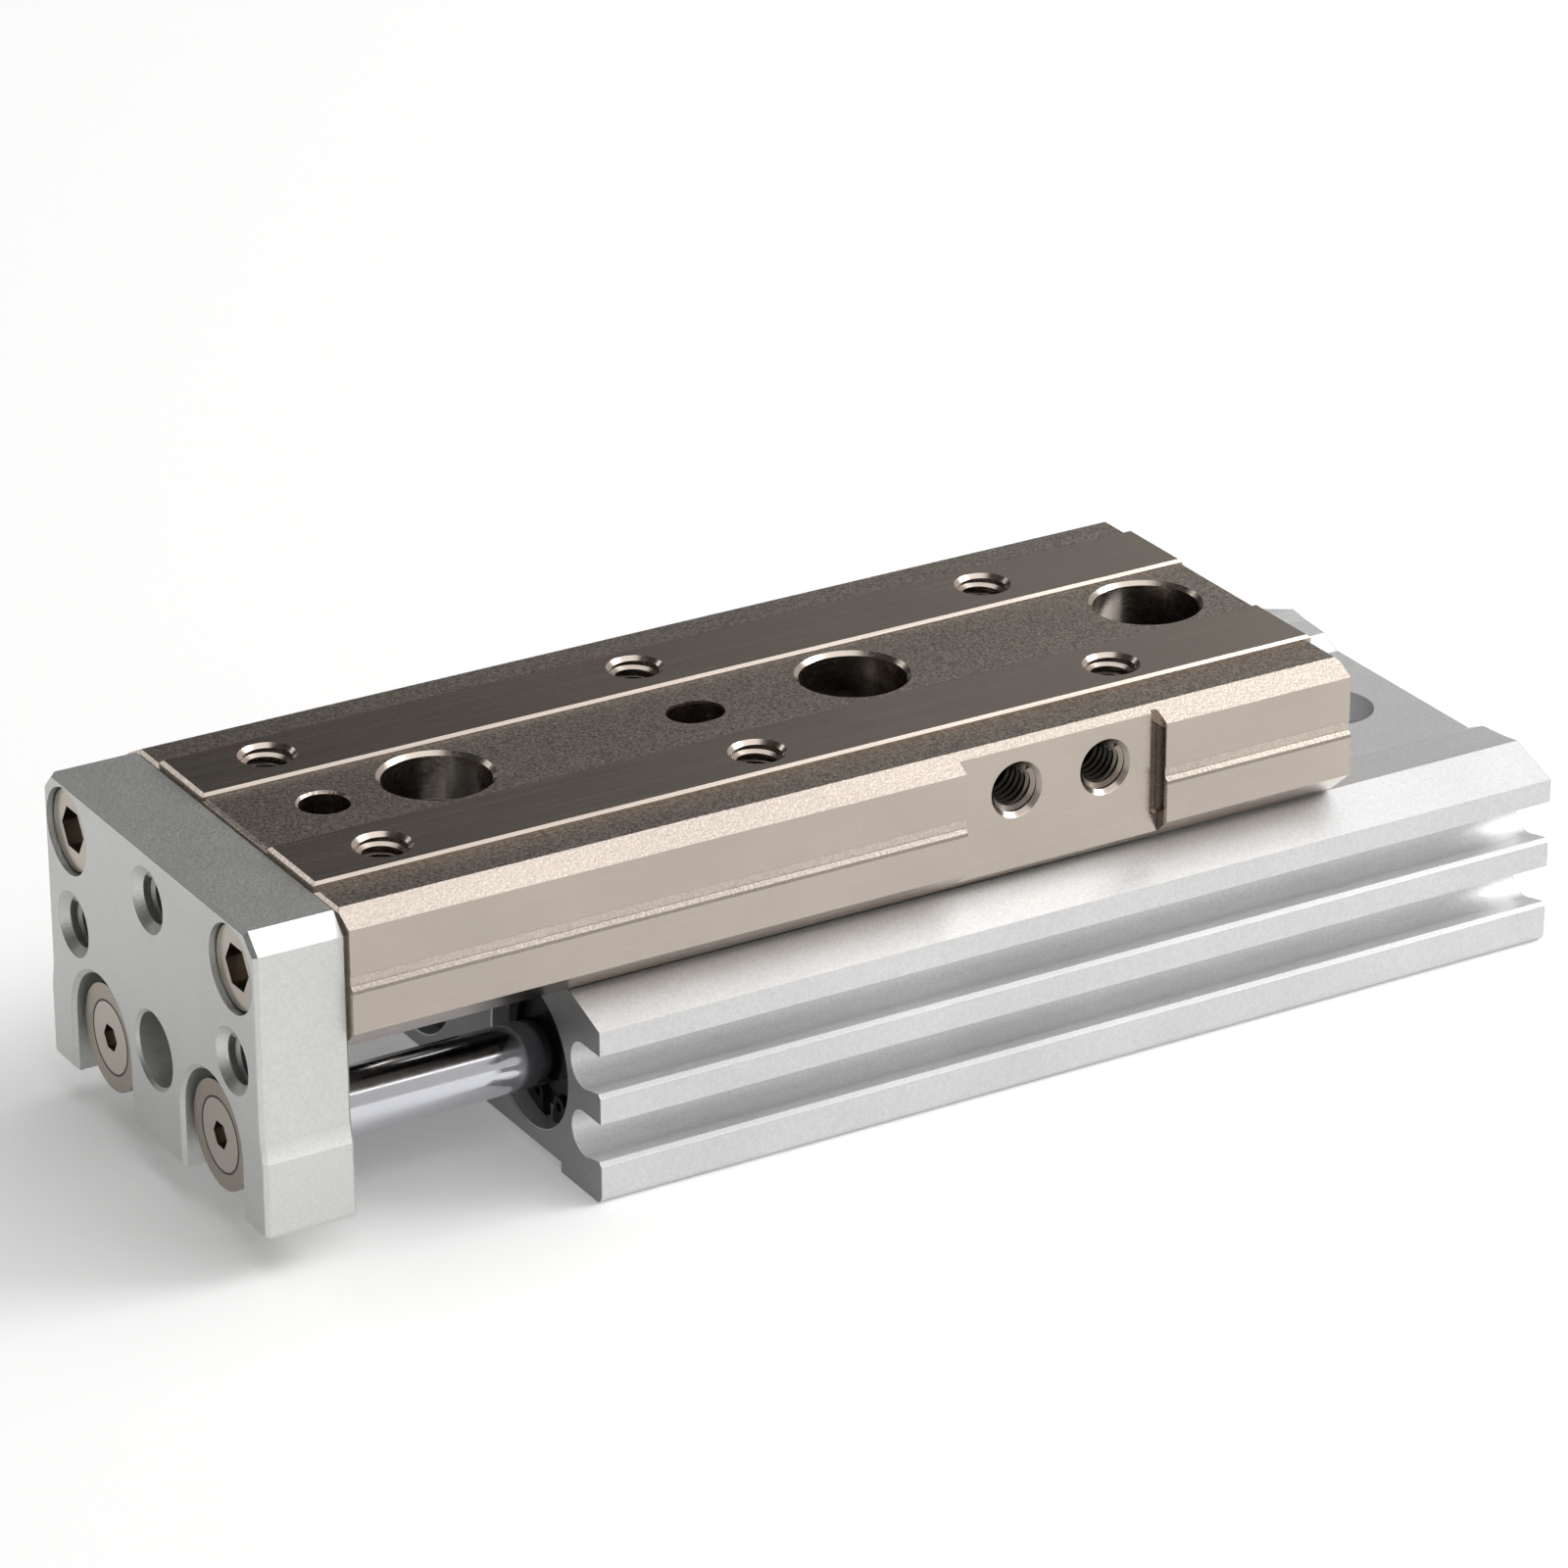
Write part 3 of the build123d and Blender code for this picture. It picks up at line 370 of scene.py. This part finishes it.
def blasted_group():
    """Fine bead-blasted skin: a bump, and light and dark specks in the colour."""
    inputs = (
        ("Colour", "NodeSocketColor", (0.8, 0.8, 0.8, 1.0)),
        ("Grain Scale", "NodeSocketFloat", GRAIN_SCALE),
        ("Speck", "NodeSocketFloat", 0.1),
        ("Depth", "NodeSocketFloat", BLASTED_DEPTH),
        ("Roughness", "NodeSocketFloat", 0.45),
    )
    group, given, sink = new_group("blasted skin", inputs, SKIN_OUTPUTS)
    place = object_place(group)
    grain = noise(group, place, given["Grain Scale"], detail=3.0, roughness=0.65)
    patches = noise(group, place, PATCH_SCALE, detail=4.0)
    drift = ramp(group, patches, *DRIFT_SPAN, *PATCH_TONES)
    fill_skin(group, given, sink, grain, "Speck", drift, BLASTED_ROUGH_SWING)
    return group


def ground_group():
    """Surface-ground metal: fine streaks along one axis, set by the stretch of the grain."""
    inputs = (
        ("Colour", "NodeSocketColor", (0.6, 0.6, 0.6, 1.0)),
        ("Stretch", "NodeSocketVector", STRETCH_ALONG_X),
        ("Streak", "NodeSocketFloat", 0.15),
        ("Depth", "NodeSocketFloat", GROUND_DEPTH),
        ("Roughness", "NodeSocketFloat", 0.25),
    )
    group, given, sink = new_group("ground skin", inputs, SKIN_OUTPUTS)
    place = object_place(group)
    links = [(0, place), (1, given["Stretch"])]
    stretched = add_node(group, "ShaderNodeVectorMath", links, operation="MULTIPLY").outputs[0]
    streaks = noise(group, stretched, 1.0, detail=3.0)
    clouds = noise(group, place, CLOUD_SCALE, detail=5.0, roughness=0.6)
    drift = ramp(group, clouds, *DRIFT_SPAN, *CLOUD_TONES)
    fill_skin(group, given, sink, streaks, "Streak", drift, GROUND_ROUGH_SWING)
    return group


def rough_top(group, place, axes, aside):
    """1 on the strips between the pads and on the chamfers, 0 on the access holes' rims."""
    result = maths(group, "SUBTRACT", 1.0, inside(group, (aside, PADS)))
    for point in access_points:
        rim_centre = (point.x, 0.0, TOP_ROUGH_ABOVE)
        links = [(0, place), (1, rim_centre)]
        reach = add_node(group, "ShaderNodeVectorMath", links, operation="DISTANCE").outputs["Value"]
        result = maths(group, "MULTIPLY", result, maths(group, "GREATER_THAN", reach, ACCESS_RIM))
    line = maths(group, "MULTIPLY_ADD", aside, -CHAMFER_SLOPE, CHAMFER_LINE)
    start = maths(group, "MINIMUM", line, TOP_ROUGH_ABOVE)
    return maths(group, "MULTIPLY", result, maths(group, "GREATER_THAN", axes["Z"], start))


def table_shade(group, axes, aside):
    """Painted shade on the table's steps, pad edges, channel, holes and key groove's wall, and painted
    light on its floor.
    """
    # Painted shade on the ledge's step and the pad edges, against their highlights
    step = inside(group, (axes["Z"], STEP_HEIGHTS), (aside, LEDGE_ASIDE))
    shade = shaded(group, 1.0, step, STEP_PAINTED_SHADE)
    for span in PAD_EDGES:
        edge = inside(group, (aside, span), (axes["Z"], PAD_EDGE_HEIGHTS))
        shade = shaded(group, shade, edge, PAD_EDGE_PAINTED_SHADE)
    # Painted shade in the channel under the top, deeper in the top holes, and in the pin holes
    lengthways = (axes["X"], TABLE_INSIDE_X)
    channel = inside(group, (axes["Y"], CHANNEL_Y), (axes["Z"], CHANNEL_HEIGHTS), lengthways)
    shade = shaded(group, shade, channel, CHANNEL_PAINTED_SHADE)
    holes = inside(group, (axes["Z"], TOP_HOLES), (aside, around(0.0, HOLE_ROWS)), lengthways)
    shade = shaded(group, shade, holes, ramp(group, axes["Z"], *TOP_HOLES, *TOP_HOLE_PAINTED_SHADES))
    for point in pin_points:
        along = (axes["X"], around(point.x, PIN_HOLE_REACH))
        across = (aside, around(0.0, PIN_HOLE_REACH))
        mask = inside(group, (axes["Z"], TOP_HOLES), across, along)
        shade = shaded(group, shade, mask, PIN_HOLE_PAINTED_SHADE)
    # Painted shade in the side taps, darker from their mouth inwards
    tap_painted_shade = ramp(group, axes["Y"], *SIDE_TAP_DEPTHS, *SIDE_TAP_PAINTED_SHADES)
    for point in side_tap_points:
        mask = inside(
            group,
            (axes["X"], around(point.x, SIDE_TAP_REACH_X)),
            (axes["Y"], (SIDE_TAP_DEPTHS[0], -HOLE_ROWS)),
            (axes["Z"], around(point.z, SIDE_TAP_REACH_Z)),
        )
        shade = shaded(group, shade, mask, tap_painted_shade)
    # Painted light on the key groove's floor, painted shade on its wall
    key_groove = (
        (KEY_FLOOR_X, KEY_FLOOR_Y, KEY_FLOOR_PAINTED_LIGHT),
        (KEY_WALL_X, KEY_WALL_Y, KEY_WALL_PAINTED_SHADE),
    )
    for span_x, span_y, tone in key_groove:
        mask = inside(group, (axes["X"], span_x), (axes["Y"], span_y), (axes["Z"], KEY_HEIGHTS))
        shade = shaded(group, shade, mask, tone)
    return shade


def table_zones_group():
    """Masks of the table: its rough skin, the rough strips of its top, and its painted shade and light
    by place.
    """
    labels = ("Rough Skin", "Top Strips", "Shade")
    outputs = [(label, "NodeSocketFloat") for label in labels]
    group, given, sink = new_group("table zones", (), outputs)
    place = object_place(group)
    axes = split(group, place)
    aside = maths(group, "ABSOLUTE", axes["Y"])
    top = rough_top(group, place, axes, aside)
    ledge = inside(group, (axes["Z"], LEDGE), (aside, LEDGE_ASIDE))
    flat = maths(group, "GREATER_THAN", axes["Z"], TOP_ROUGH_ABOVE)
    results = {
        "Rough Skin": maths(group, "MAXIMUM", top, ledge),
        "Top Strips": maths(group, "MULTIPLY", top, flat),
        "Shade": table_shade(group, axes, aside),
    }
    link_all(group, results, sink)
    return group


BLASTED = blasted_group()
GROUND = ground_group()


# Materials


def new_material(name, values):
    """A material with plain values on its Principled shader: (material, node tree, shader)."""
    material = bpy.data.materials.new(name)
    material.use_nodes = True
    shader = material.node_tree.nodes["Principled BSDF"]
    for key, value in values.items():
        shader.inputs[key].default_value = value
    return material, material.node_tree, shader


def placed_group(tree, group, values):
    """The outputs of a group placed in a material, with its inputs set."""
    node = add_node(tree, "ShaderNodeGroup", node_tree=group)
    for key, value in values.items():
        node.inputs[key].default_value = value
    return node.outputs


def blasted_values(colour, roughness, speck, depth, scale=GRAIN_SCALE):
    """What the blasted skin is given."""
    return {
        "Colour": (*colour, 1.0),
        "Roughness": roughness,
        "Speck": speck,
        "Depth": depth,
        "Grain Scale": scale,
    }


def ground_values(colour, roughness, streak, stretch, depth):
    """What the ground skin is given."""
    return {
        "Colour": (*colour, 1.0),
        "Roughness": roughness,
        "Streak": streak,
        "Stretch": stretch,
        "Depth": depth,
    }


def finish_material(name, group, values, metallic):
    """A material whose colour, roughness and normal come from one shared group."""
    material, tree, shader = new_material(name, {"Metallic": metallic})
    skin = placed_group(tree, group, values)
    results = {
        "Base Color": skin["Colour"],
        "Roughness": skin["Roughness"],
        "Normal": skin["Normal"],
    }
    link_all(tree, results, shader)
    return material


def blasted(name, colour, roughness, speck, depth=BLASTED_DEPTH, metallic=1.0):
    """A blasted or moulded finish."""
    values = blasted_values(colour, roughness, speck, depth)
    return finish_material(name, BLASTED, values, metallic)


def ground(name, colour, roughness, streak, stretch, depth=GROUND_DEPTH, metallic=1.0):
    """A ground, turned or drawn metal finish."""
    values = ground_values(colour, roughness, streak, stretch, depth)
    return finish_material(name, GROUND, values, metallic)


def table_material(name):
    """The table's two skins, mixed by zone."""
    material, tree, shader = new_material(name, {"Metallic": 1.0})
    smooth_values = ground_values((0.475, 0.415, 0.365), 0.24, 0.08, STRETCH_ALONG_X, 0.002 * MM)
    rough_values = blasted_values((0.53, 0.465, 0.41), 0.34, 0.9, 0.06 * MM, scale=2800.0)
    smooth = placed_group(tree, GROUND, smooth_values)
    rough = placed_group(tree, BLASTED, rough_values)
    zones = placed_group(tree, table_zones_group(), {})
    zone = zones["Rough Skin"]
    # The strips get their grain's specks and a painted shade; the zones add their painted shade and
    # light
    grain = noise(tree, object_place(tree), STRIP_GRAIN, detail=1.0)
    strip_specks_and_shade = ramp(tree, grain, *STRIP_GRAIN_SPAN, *STRIP_SPECKS_AND_PAINTED_SHADE)
    tone = shaded(tree, zones["Shade"], zones["Top Strips"], strip_specks_and_shade)
    colour = mixed(tree, "RGBA", zone, smooth["Colour"], rough["Colour"])
    results = {
        "Base Color": scaled(tree, colour, tone),
        "Roughness": mixed(tree, "FLOAT", zone, smooth["Roughness"], rough["Roughness"]),
        "Normal": mixed(tree, "VECTOR", zone, smooth["Normal"], rough["Normal"]),
    }
    link_all(tree, results, shader)
    return material


def body_shade(tree, axes):
    """Painted shade on the body's cut ends and groove lips, and painted light in its sensor grooves and
    on its shoulder.
    """
    # Painted shade on the cut ends
    end = maths(tree, "GREATER_THAN", maths(tree, "ABSOLUTE", axes["X"]), BODY_END)
    shade = shaded(tree, 1.0, end, BODY_END_PAINTED_SHADE)
    lengthways = (axes["X"], GROOVE_X)
    # Painted light in the sensor grooves, painted shade on their lower lips
    for point in groove_points:
        heights = around(point.z, GROOVE_REACH)
        groove = inside(tree, lengthways, (axes["Y"], GROOVE_Y), (axes["Z"], heights))
        shade = shaded(tree, shade, groove, GROOVE_PAINTED_LIGHT)
        heights = around(point.z - LIP_BELOW, LIP_REACH)
        lip = inside(tree, lengthways, (axes["Y"], LIP_Y), (axes["Z"], heights))
        shade = shaded(tree, shade, lip, LIP_PAINTED_SHADE)
    # Painted light on the shoulder beside the table, fading out towards the rear
    shoulder = inside(tree, lengthways, (axes["Y"], SHOULDER_Y), (axes["Z"], SHOULDER_HEIGHTS))
    shoulder_painted_light = ramp(tree, axes["X"], *SHOULDER_FADE_X, *SHOULDER_PAINTED_LIGHT)
    return shaded(tree, shade, shoulder, shoulder_painted_light)


def plate_shade(tree, axes):
    """Painted shade on the plate's front face and threaded holes, and painted light in its coves."""
    # Painted shade on the front
    front = maths(tree, "LESS_THAN", axes["X"], PLATE_FRONT)
    shade = shaded(tree, 1.0, front, PLATE_FRONT_PAINTED_SHADE)
    aside = maths(tree, "ABSOLUTE", axes["Y"])
    # Painted highlight in the coves, strongest at their lower end
    cove = inside(tree, (aside, COVE_ASIDE), (axes["Z"], COVE_HEIGHTS))
    shade = shaded(tree, shade, cove, ramp(tree, axes["Z"], *COVE_HEIGHTS, *COVE_PAINTED_LIGHT))
    # Painted shade in the threaded holes
    threads = maths(tree, "GREATER_THAN", axes["X"], PLATE_THREAD_START)
    for point in plate_tap_points:
        across = (axes["Y"], around(point.y, PLATE_TAP_REACH))
        mask = inside(tree, across, (axes["Z"], around(point.z, PLATE_TAP_REACH)))
        shade = shaded(tree, shade, maths(tree, "MULTIPLY", mask, threads), PLATE_THREAD_PAINTED_SHADE)
    return shade


def with_painted_light_and_shade(material, shade):
    """The finish, with its colour multiplied by the painted shade and light that the function works out
    by place.
    """
    tree = material.node_tree
    base = tree.nodes["Principled BSDF"].inputs["Base Color"]
    colour = base.links[0].from_socket
    axes = split(tree, object_place(tree))
    tree.links.new(scaled(tree, colour, shade(tree, axes)), base)
    return material


body_finish = blasted("body anodised", (0.67, 0.675, 0.68), 0.47, 0.4, 0.03 * MM, metallic=0.75)
plate_finish = blasted("plate anodised", (0.65, 0.657, 0.642), 0.46, 0.35, 0.05 * MM)

finishes = {
    # The body and the plate carry painted shade and light by place
    "body_anodised": with_painted_light_and_shade(body_finish, body_shade),
    "plate_anodised": with_painted_light_and_shade(plate_finish, plate_shade),
    "table_nickel": table_material("table nickel"),
    "plated_screws": ground("plated screws", (0.42, 0.38, 0.33), 0.22, 0.1, STRETCH_ROUND),
    "bush_nickel": ground("bush nickel", (0.305, 0.265, 0.22), 0.28, 0.15, STRETCH_ROUND),
    "collar_black": blasted("collar black", (0.03, 0.03, 0.03), 0.4, 0.3, metallic=0.6),
    "rod_chrome": ground("rod chrome", (0.62, 0.63, 0.67), 0.13, 0.02, STRETCH_ROUND, 0.0),
    "guide_steel": ground("guide steel", (0.40, 0.39, 0.38), 0.3, 0.2, STRETCH_ALONG_X),
    "dark_screws": blasted("dark screws", (0.04, 0.04, 0.04), 0.38, 0.3, metallic=0.7),
    "cap_resin": blasted("cap resin", (0.02, 0.02, 0.02), 0.5, 0.3, metallic=0.0),
    "seal_rubber": blasted("seal rubber", (0.015, 0.015, 0.015), 0.6, 0.3, metallic=0.0),
    "ball_steel": ground("ball steel", (0.72, 0.72, 0.73), 0.08, 0.02, STRETCH_ROUND, 0.0005 * MM),
    "cover_aluminium": ground("cover aluminium", (0.55, 0.56, 0.57), 0.32, 0.15, STRETCH_ROUND),
    "cover_black": ground("cover black", (0.008, 0.008, 0.008), 0.5, 0.2, STRETCH_ROUND, metallic=0.3),
    "bush_bronze": blasted("bush bronze", (0.50, 0.34, 0.18), 0.42, 0.4),
    "ring_steel": blasted("ring steel", (0.01, 0.01, 0.01), 0.45, 0.3, metallic=0.5),
    "magnet_resin": blasted("magnet resin", (0.05, 0.05, 0.05), 0.5, 0.3, metallic=0.2),
}

for part in frame["record"]["subparts"]:
    mesh = frame["nodes"][part["node"]].data
    mesh.materials.clear()
    mesh.materials.append(finishes[part["material_slot"]])


# Pieces that the CAD leaves out, and a painted shadow round the rod screws' heads


def linked_object(name, data):
    """A new object in the scene's collection, at the origin."""
    made = bpy.data.objects.new(name, data)
    bpy.context.scene.collection.objects.link(made)
    return made


def mesh_object(name, shape, material):
    """An object from a finished bmesh, which is freed."""
    mesh = bpy.data.meshes.new(name)
    shape.to_mesh(mesh)
    shape.free()
    mesh.materials.append(material)
    return linked_object(name, mesh)


def thread_ridge(shape, mouth, inward, turns):
    """One hole's thread: a small profile turned about the hole's axis while it moves in."""
    side = inward.orthogonal().normalized()
    wall = TAP_RADIUS + THREAD_SUNK
    crest = TAP_RADIUS - THREAD_HEIGHT
    corners = [
        (wall, -THREAD_ROOT / 2),
        (wall, THREAD_ROOT / 2),
        (crest, THREAD_CREST / 2),
        (crest, -THREAD_CREST / 2),
    ]
    ring = [shape.verts.new(mouth + side * radius + inward * depth) for radius, depth in corners]
    face = shape.faces.new(ring)
    bmesh.ops.spin(
        shape,
        geom=[face, *face.edges, *face.verts],
        cent=mouth,
        axis=inward,
        dvec=inward * THREAD_PITCH / THREAD_STEPS,
        angle=2 * math.pi * turns,
        steps=THREAD_STEPS * turns,
        use_duplicate=False,
    )


def thread_piece(name, slot_name, face_points, inward, start, turns):
    """The threads of holes that open at the given points of one face, as one piece."""
    shape = bmesh.new()
    for point in face_points:
        mouth = point + inward * (start + THREAD_PITCH / 2)
        thread_ridge(shape, mouth, inward, turns)
    bmesh.ops.remove_doubles(shape, verts=shape.verts, dist=THREAD_MERGE)
    bmesh.ops.holes_fill(shape, edges=shape.edges, sides=4)
    bmesh.ops.recalc_face_normals(shape, faces=shape.faces)
    piece = mesh_object(name, shape, finishes[slot_name])
    piece.data.shade_smooth()
    piece.data.set_sharp_from_angle(angle=THREAD_SHARP)
    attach(piece, DRIVEN)


def flat_ring(shape, centre, inner, outer):
    """A thin flat ring square to X, its front at the centre point, for a painted shadow line."""
    corners = [(0.0, inner), (RING_THICKNESS, inner), (RING_THICKNESS, outer), (0.0, outer)]
    ring = [shape.verts.new(centre + AXIS_X * depth + AXIS_Z * radius) for depth, radius in corners]
    outline = [shape.edges.new((start, end)) for start, end in zip(ring, ring[1:] + ring[:1])]
    bmesh.ops.spin(
        shape,
        geom=[*ring, *outline],
        cent=centre,
        axis=AXIS_X,
        angle=2 * math.pi,
        steps=RING_STEPS,
        use_merge=True,
        use_duplicate=False,
    )


table_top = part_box("table")[1][2]
plate_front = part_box("end_plate")[0][0]

top_taps = pattern_points("table_taps_outer", AXIS_X, AXIS_Y)
top_taps += pattern_points("table_taps_middle", AXIS_X, AXIS_Y)
top_face_points = [Vector((point.x, point.y, table_top)) for point in top_taps]
side_face_points = [Vector((point.x, SIDE_TAP_FACE, point.z)) for point in side_tap_points]
plate_face_points = [Vector((plate_front, point.y, point.z)) for point in plate_tap_points]
top_cut = (-AXIS_Z, TOP_TAP_START, TOP_TAP_TURNS)
side_cut = (AXIS_Y, SIDE_TAP_START, SIDE_TAP_TURNS)
plate_cut = (AXIS_X, PLATE_TAP_START, PLATE_TAP_TURNS)
thread_piece("table_top_threads", "table_nickel", top_face_points, *top_cut)
thread_piece("table_side_threads", "table_nickel", side_face_points, *side_cut)

# Painted shadow: a dark ring between each rod screw's head and its bush, where the gap's shade falls
bush_low, bush_high = (Vector(corner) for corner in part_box("rod_end_bushes"))
bush_half = (bush_high.z - bush_low.z) / 2
shape = bmesh.new()
for y in (bush_low.y + bush_half, bush_high.y - bush_half):
    flat_ring(shape, Vector((bush_low.x - RING_PROUD, y, bush_low.z + bush_half)), *HEAD_SHADOW_RING)
bmesh.ops.remove_doubles(shape, verts=shape.verts, dist=RING_MERGE)
bmesh.ops.recalc_face_normals(shape, faces=shape.faces)
painted_shadow_rings = mesh_object("rod_screw_painted_shadows", shape, finishes["collar_black"])
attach(painted_shadow_rings, DRIVEN)

thread_piece("plate_threads", "plate_anodised", plate_face_points, *plate_cut)


# Camera


def camera_matrix():
    """The camera's place and turn. Its own axes are right, up, and back from the target."""
    back = Vector(
        (
            math.sin(CAMERA_AZIMUTH) * math.cos(CAMERA_ELEVATION),
            -math.cos(CAMERA_AZIMUTH) * math.cos(CAMERA_ELEVATION),
            math.sin(CAMERA_ELEVATION),
        )
    )
    level_right = Vector((math.cos(CAMERA_AZIMUTH), math.sin(CAMERA_AZIMUTH), 0.0))
    level_up = back.cross(level_right)
    right = level_right * math.cos(CAMERA_ROLL) + level_up * math.sin(CAMERA_ROLL)
    up = back.cross(right)
    place = CAMERA_TARGET + back * CAMERA_DISTANCE
    return Matrix(
        (
            (right.x, up.x, back.x, place.x),
            (right.y, up.y, back.y, place.y),
            (right.z, up.z, back.z, place.z),
            (0.0, 0.0, 0.0, 1.0),
        )
    )


camera_data = bpy.data.cameras.new("camera")
camera_data.lens = CAMERA_LENS
camera_data.sensor_width = CAMERA_SENSOR
camera_data.clip_start, camera_data.clip_end = CAMERA_CLIP
camera = linked_object("camera", camera_data)
camera.matrix_world = camera_matrix()
bpy.context.scene.camera = camera


# Studio


def matt_material(name, colour, glow_colour):
    """A matt material that can glow: (material, node tree, shader)."""
    values = {
        "Base Color": colour,
        "Roughness": 1.0,
        "Specular IOR Level": 0.0,
        "Emission Color": glow_colour,
    }
    return new_material(name, values)


# Floor: pale, with a glow that only the camera and reflections see, so the shadow stays soft
floor_material, tree, shader = matt_material("floor", FLOOR_COLOUR, WHITE)
glow = maths(tree, "MULTIPLY", seen_rays(tree), FLOOR_GLOW)
tree.links.new(glow, shader.inputs["Emission Strength"])
shape = bmesh.new()
bmesh.ops.create_grid(shape, x_segments=1, y_segments=1, size=FLOOR_SIZE / 2)
floor = mesh_object("floor", shape, floor_material)

# Dark studio dome, out of the camera's sight: what the tops and the hole walls reflect.
# It is lightest to the right and behind the camera.
dome_material, tree, shader = matt_material("studio dome", DOME_COLOUR, DOME_GLOW_COLOUR)
dome_axes = split(tree, object_place(tree))
smooth = {"interpolation_type": "SMOOTHSTEP"}
to_right = ramp(tree, dome_axes["X"], *DOME_RIGHT_X, *DOME_RIGHT_GLOW, **smooth)
to_front = ramp(tree, dome_axes["Y"], *DOME_FRONT_Y, *DOME_FRONT_GLOW, **smooth)
tree.links.new(maths(tree, "ADD", to_right, to_front), shader.inputs["Emission Strength"])
shape = bmesh.new()
bmesh.ops.create_uvsphere(shape, u_segments=64, v_segments=48, radius=DOME_RADIUS)
low_faces = [face for face in shape.faces if face.calc_center_median().z < DOME_LOW]
bmesh.ops.delete(shape, geom=low_faces, context="FACES")
dome = mesh_object("studio_dome", shape, dome_material)
dome.visible_camera = False


def soft_lamp(name, location, target, size, power):
    """A square white lamp aimed at a point."""
    data = bpy.data.lights.new(name, "AREA")
    data.shape = "SQUARE"
    data.size = size
    data.energy = power
    lamp = linked_object(name, data)
    lamp.location = location
    direction = Vector(target) - Vector(location)
    lamp.rotation_mode = "QUATERNION"
    lamp.rotation_quaternion = direction.to_track_quat("-Z", "Y")


for lamp in LAMPS:
    soft_lamp(*lamp)

world = bpy.data.worlds.new("studio")
bpy.context.scene.world = world
world.use_nodes = True
tree = world.node_tree
background = tree.nodes["Background"]
background.inputs["Color"].default_value = WHITE
strength = ramp(tree, seen_rays(tree), 0.0, 1.0, WORLD_LIGHT, WORLD_SEEN)
tree.links.new(strength, background.inputs["Strength"])

bpy.context.scene.view_settings.view_transform = "Standard"
